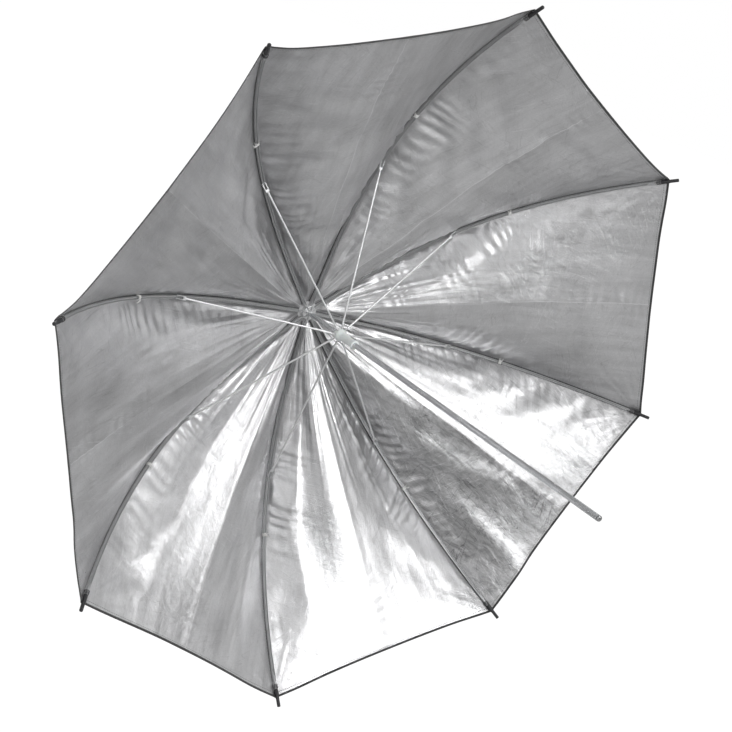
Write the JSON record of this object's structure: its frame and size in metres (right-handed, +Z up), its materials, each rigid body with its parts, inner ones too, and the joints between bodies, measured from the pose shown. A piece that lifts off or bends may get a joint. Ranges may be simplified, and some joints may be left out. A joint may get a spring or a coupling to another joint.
{
  "type": "umbrella reflector",
  "caption": "Folding studio umbrella with a silver-lined fabric canopy on sprung steel ribs, stretchers and a sliding runner, carried on a slim round shaft.",
  "frame": {"origin": "centre of the flat face at the shaft's free end", "axes": "+Y along the shaft from its free end to the ferrule cap, so the canopy opens toward -Y; +Z up, along rib 1; +X to the right of someone looking along +Y"},
  "size_m": [1.0924, 0.713, 1.0924],
  "materials": {
    "shaft_chrome": "bright plated steel tube with fine drawn lines",
    "black_plastic": "moulded, slightly satin",
    "rosette_plastic": "matt",
    "runner_plastic": "moulded white, satin",
    "wire_steel": "plain bright wire",
    "rivet_steel": "plain",
    "catch_steel": "sprung steel, plain",
    "rib_steel": "dark lacquered channel, worn bright on its edges",
    "stretcher_steel": "bright plated",
    "canopy_fabric": "woven, silver metallised inside and black outside, satin sheen"
  },
  "bodies": {
    "root": {"shaft": "shaft_chrome", "shaft_end_plug": "black_plastic", "crown_notch": "black_plastic", "crown_wire": "wire_steel", "ferrule_cap": "black_plastic", "stop_pin": "rivet_steel", "outer_rosette": "rosette_plastic", "inner_rosette": "rosette_plastic"},
    "open_catch": {"open_catch": "catch_steel"},
    "closed_catch": {"closed_catch": "catch_steel"},
    "runner": {"runner": "runner_plastic", "runner_wire": "wire_steel"},
    "rib_1": {"rib_1": "rib_steel", "rib_tip_1": "black_plastic", "rivet_1": "rivet_steel"},
    "stretcher_1": {"stretcher_1": "stretcher_steel"},
    "canopy_1a": {"canopy_1a": "canopy_fabric"},
    "canopy_1b": {"canopy_1b": "canopy_fabric"},
    "rib_2": {"rib_2": "rib_steel", "rib_tip_2": "black_plastic", "rivet_2": "rivet_steel"},
    "stretcher_2": {"stretcher_2": "stretcher_steel"},
    "canopy_2a": {"canopy_2a": "canopy_fabric"},
    "canopy_2b": {"canopy_2b": "canopy_fabric"},
    "rib_3": {"rib_3": "rib_steel", "rib_tip_3": "black_plastic", "rivet_3": "rivet_steel"},
    "stretcher_3": {"stretcher_3": "stretcher_steel"},
    "canopy_3a": {"canopy_3a": "canopy_fabric"},
    "canopy_3b": {"canopy_3b": "canopy_fabric"},
    "rib_4": {"rib_4": "rib_steel", "rib_tip_4": "black_plastic", "rivet_4": "rivet_steel"},
    "stretcher_4": {"stretcher_4": "stretcher_steel"},
    "canopy_4a": {"canopy_4a": "canopy_fabric"},
    "canopy_4b": {"canopy_4b": "canopy_fabric"},
    "rib_5": {"rib_5": "rib_steel", "rib_tip_5": "black_plastic", "rivet_5": "rivet_steel"},
    "stretcher_5": {"stretcher_5": "stretcher_steel"},
    "canopy_5a": {"canopy_5a": "canopy_fabric"},
    "canopy_5b": {"canopy_5b": "canopy_fabric"},
    "rib_6": {"rib_6": "rib_steel", "rib_tip_6": "black_plastic", "rivet_6": "rivet_steel"},
    "stretcher_6": {"stretcher_6": "stretcher_steel"},
    "canopy_6a": {"canopy_6a": "canopy_fabric"},
    "canopy_6b": {"canopy_6b": "canopy_fabric"},
    "rib_7": {"rib_7": "rib_steel", "rib_tip_7": "black_plastic", "rivet_7": "rivet_steel"},
    "stretcher_7": {"stretcher_7": "stretcher_steel"},
    "canopy_7a": {"canopy_7a": "canopy_fabric"},
    "canopy_7b": {"canopy_7b": "canopy_fabric"},
    "rib_8": {"rib_8": "rib_steel", "rib_tip_8": "black_plastic", "rivet_8": "rivet_steel"},
    "stretcher_8": {"stretcher_8": "stretcher_steel"},
    "canopy_8a": {"canopy_8a": "canopy_fabric"},
    "canopy_8b": {"canopy_8b": "canopy_fabric"}
  },
  "joints": [
    {"name": "fold", "type": "hinge", "parent": "root", "child": "rib_1", "pos_m": [0, 0.683, 0.0075], "axis": [1, 0, 0], "range_deg": [0, 62]},
    {"name": "stretcher_1_swing", "type": "hinge", "parent": "rib_1", "child": "stretcher_1", "pos_m": [0, 0.637, 0.2638], "axis": [1, 0, 0], "range_deg": [-124, 0]},
    {"name": "canopy_1a_fold", "type": "hinge", "parent": "rib_1", "child": "canopy_1a", "pos_m": [0, 0.683, 0.0075], "axis": [0, 0.4383, -0.8988], "range_deg": [0, 89.9], "deforming": ["canopy_1a"]},
    {"name": "canopy_1b_fold", "type": "hinge", "parent": "rib_1", "child": "canopy_1b", "pos_m": [0, 0.683, 0.0075], "axis": [0, -0.4383, 0.8988], "range_deg": [0, 89.9], "deforming": ["canopy_1b"]},
    {"name": "rib_2_fold", "type": "hinge", "parent": "root", "child": "rib_2", "pos_m": [-0.0053, 0.683, 0.0053], "axis": [0.7071, 0, 0.7071], "range_deg": [0, 62]},
    {"name": "stretcher_2_swing", "type": "hinge", "parent": "rib_2", "child": "stretcher_2", "pos_m": [-0.18653, 0.637, 0.18653], "axis": [0.7071, 0, 0.7071], "range_deg": [-124, 0]},
    {"name": "canopy_2a_fold", "type": "hinge", "parent": "rib_2", "child": "canopy_2a", "pos_m": [-0.0053, 0.683, 0.0053], "axis": [0.6356, 0.4383, -0.6356], "range_deg": [0, 89.9], "deforming": ["canopy_2a"]},
    {"name": "canopy_2b_fold", "type": "hinge", "parent": "rib_2", "child": "canopy_2b", "pos_m": [-0.0053, 0.683, 0.0053], "axis": [-0.6356, -0.4383, 0.6356], "range_deg": [0, 89.9], "deforming": ["canopy_2b"]},
    {"name": "rib_3_fold", "type": "hinge", "parent": "root", "child": "rib_3", "pos_m": [-0.0075, 0.683, 0], "axis": [0, 0, 1], "range_deg": [0, 62]},
    {"name": "stretcher_3_swing", "type": "hinge", "parent": "rib_3", "child": "stretcher_3", "pos_m": [-0.2638, 0.637, 0], "axis": [0, 0, 1], "range_deg": [-124, 0]},
    {"name": "canopy_3a_fold", "type": "hinge", "parent": "rib_3", "child": "canopy_3a", "pos_m": [-0.0075, 0.683, 0], "axis": [0.8988, 0.4383, 0], "range_deg": [0, 89.9], "deforming": ["canopy_3a"]},
    {"name": "canopy_3b_fold", "type": "hinge", "parent": "rib_3", "child": "canopy_3b", "pos_m": [-0.0075, 0.683, 0], "axis": [-0.8988, -0.4383, 0], "range_deg": [0, 89.9], "deforming": ["canopy_3b"]},
    {"name": "rib_4_fold", "type": "hinge", "parent": "root", "child": "rib_4", "pos_m": [-0.0053, 0.683, -0.0053], "axis": [-0.7071, 0, 0.7071], "range_deg": [0, 62]},
    {"name": "stretcher_4_swing", "type": "hinge", "parent": "rib_4", "child": "stretcher_4", "pos_m": [-0.18653, 0.637, -0.18653], "axis": [-0.7071, 0, 0.7071], "range_deg": [-124, 0]},
    {"name": "canopy_4a_fold", "type": "hinge", "parent": "rib_4", "child": "canopy_4a", "pos_m": [-0.0053, 0.683, -0.0053], "axis": [0.6356, 0.4383, 0.6356], "range_deg": [0, 89.9], "deforming": ["canopy_4a"]},
    {"name": "canopy_4b_fold", "type": "hinge", "parent": "rib_4", "child": "canopy_4b", "pos_m": [-0.0053, 0.683, -0.0053], "axis": [-0.6356, -0.4383, -0.6356], "range_deg": [0, 89.9], "deforming": ["canopy_4b"]},
    {"name": "rib_5_fold", "type": "hinge", "parent": "root", "child": "rib_5", "pos_m": [0, 0.683, -0.0075], "axis": [-1, 0, 0], "range_deg": [0, 62]},
    {"name": "stretcher_5_swing", "type": "hinge", "parent": "rib_5", "child": "stretcher_5", "pos_m": [0, 0.637, -0.2638], "axis": [-1, 0, 0], "range_deg": [-124, 0]},
    {"name": "canopy_5a_fold", "type": "hinge", "parent": "rib_5", "child": "canopy_5a", "pos_m": [0, 0.683, -0.0075], "axis": [0, 0.4383, 0.8988], "range_deg": [0, 89.9], "deforming": ["canopy_5a"]},
    {"name": "canopy_5b_fold", "type": "hinge", "parent": "rib_5", "child": "canopy_5b", "pos_m": [0, 0.683, -0.0075], "axis": [0, -0.4383, -0.8988], "range_deg": [0, 89.9], "deforming": ["canopy_5b"]},
    {"name": "rib_6_fold", "type": "hinge", "parent": "root", "child": "rib_6", "pos_m": [0.0053, 0.683, -0.0053], "axis": [-0.7071, 0, -0.7071], "range_deg": [0, 62]},
    {"name": "stretcher_6_swing", "type": "hinge", "parent": "rib_6", "child": "stretcher_6", "pos_m": [0.18653, 0.637, -0.18653], "axis": [-0.7071, 0, -0.7071], "range_deg": [-124, 0]},
    {"name": "canopy_6a_fold", "type": "hinge", "parent": "rib_6", "child": "canopy_6a", "pos_m": [0.0053, 0.683, -0.0053], "axis": [-0.6356, 0.4383, 0.6356], "range_deg": [0, 89.9], "deforming": ["canopy_6a"]},
    {"name": "canopy_6b_fold", "type": "hinge", "parent": "rib_6", "child": "canopy_6b", "pos_m": [0.0053, 0.683, -0.0053], "axis": [0.6356, -0.4383, -0.6356], "range_deg": [0, 89.9], "deforming": ["canopy_6b"]},
    {"name": "rib_7_fold", "type": "hinge", "parent": "root", "child": "rib_7", "pos_m": [0.0075, 0.683, 0], "axis": [0, 0, -1], "range_deg": [0, 62]},
    {"name": "stretcher_7_swing", "type": "hinge", "parent": "rib_7", "child": "stretcher_7", "pos_m": [0.2638, 0.637, 0], "axis": [0, 0, -1], "range_deg": [-124, 0]},
    {"name": "canopy_7a_fold", "type": "hinge", "parent": "rib_7", "child": "canopy_7a", "pos_m": [0.0075, 0.683, 0], "axis": [-0.8988, 0.4383, 0], "range_deg": [0, 89.9], "deforming": ["canopy_7a"]},
    {"name": "canopy_7b_fold", "type": "hinge", "parent": "rib_7", "child": "canopy_7b", "pos_m": [0.0075, 0.683, 0], "axis": [0.8988, -0.4383, 0], "range_deg": [0, 89.9], "deforming": ["canopy_7b"]},
    {"name": "rib_8_fold", "type": "hinge", "parent": "root", "child": "rib_8", "pos_m": [0.0053, 0.683, 0.0053], "axis": [0.7071, 0, -0.7071], "range_deg": [0, 62]},
    {"name": "stretcher_8_swing", "type": "hinge", "parent": "rib_8", "child": "stretcher_8", "pos_m": [0.18653, 0.637, 0.18653], "axis": [0.7071, 0, -0.7071], "range_deg": [-124, 0]},
    {"name": "canopy_8a_fold", "type": "hinge", "parent": "rib_8", "child": "canopy_8a", "pos_m": [0.0053, 0.683, 0.0053], "axis": [-0.6356, 0.4383, -0.6356], "range_deg": [0, 89.9], "deforming": ["canopy_8a"]},
    {"name": "canopy_8b_fold", "type": "hinge", "parent": "rib_8", "child": "canopy_8b", "pos_m": [0.0053, 0.683, 0.0053], "axis": [0.6356, -0.4383, 0.6356], "range_deg": [0, 89.9], "deforming": ["canopy_8b"]},
    {"name": "runner_swing", "type": "hinge", "parent": "stretcher_1", "child": "runner", "pos_m": [0, 0.591, 0.0075], "axis": [1, 0, 0], "range_deg": [0, 62]},
    {"name": "open_catch_press", "type": "slide", "parent": "root", "child": "open_catch", "axis": [0, 0, -1], "range_m": [0, 0.003]},
    {"name": "closed_catch_press", "type": "slide", "parent": "root", "child": "closed_catch", "axis": [0, 0, -1], "range_m": [0, 0.003]}
  ],
  "couplings": [
    {"joint": "stretcher_1_swing", "follows": "fold", "ratio": -2},
    {"joint": "canopy_1a_fold", "follows": "fold", "ratio": 1.45},
    {"joint": "canopy_1b_fold", "follows": "fold", "ratio": 1.45},
    {"joint": "rib_2_fold", "follows": "fold", "ratio": 1},
    {"joint": "stretcher_2_swing", "follows": "fold", "ratio": -2},
    {"joint": "canopy_2a_fold", "follows": "fold", "ratio": 1.45},
    {"joint": "canopy_2b_fold", "follows": "fold", "ratio": 1.45},
    {"joint": "rib_3_fold", "follows": "fold", "ratio": 1},
    {"joint": "stretcher_3_swing", "follows": "fold", "ratio": -2},
    {"joint": "canopy_3a_fold", "follows": "fold", "ratio": 1.45},
    {"joint": "canopy_3b_fold", "follows": "fold", "ratio": 1.45},
    {"joint": "rib_4_fold", "follows": "fold", "ratio": 1},
    {"joint": "stretcher_4_swing", "follows": "fold", "ratio": -2},
    {"joint": "canopy_4a_fold", "follows": "fold", "ratio": 1.45},
    {"joint": "canopy_4b_fold", "follows": "fold", "ratio": 1.45},
    {"joint": "rib_5_fold", "follows": "fold", "ratio": 1},
    {"joint": "stretcher_5_swing", "follows": "fold", "ratio": -2},
    {"joint": "canopy_5a_fold", "follows": "fold", "ratio": 1.45},
    {"joint": "canopy_5b_fold", "follows": "fold", "ratio": 1.45},
    {"joint": "rib_6_fold", "follows": "fold", "ratio": 1},
    {"joint": "stretcher_6_swing", "follows": "fold", "ratio": -2},
    {"joint": "canopy_6a_fold", "follows": "fold", "ratio": 1.45},
    {"joint": "canopy_6b_fold", "follows": "fold", "ratio": 1.45},
    {"joint": "rib_7_fold", "follows": "fold", "ratio": 1},
    {"joint": "stretcher_7_swing", "follows": "fold", "ratio": -2},
    {"joint": "canopy_7a_fold", "follows": "fold", "ratio": 1.45},
    {"joint": "canopy_7b_fold", "follows": "fold", "ratio": 1.45},
    {"joint": "rib_8_fold", "follows": "fold", "ratio": 1},
    {"joint": "stretcher_8_swing", "follows": "fold", "ratio": -2},
    {"joint": "canopy_8a_fold", "follows": "fold", "ratio": 1.45},
    {"joint": "canopy_8b_fold", "follows": "fold", "ratio": 1.45},
    {"joint": "runner_swing", "follows": "fold", "ratio": 1}
  ]
}
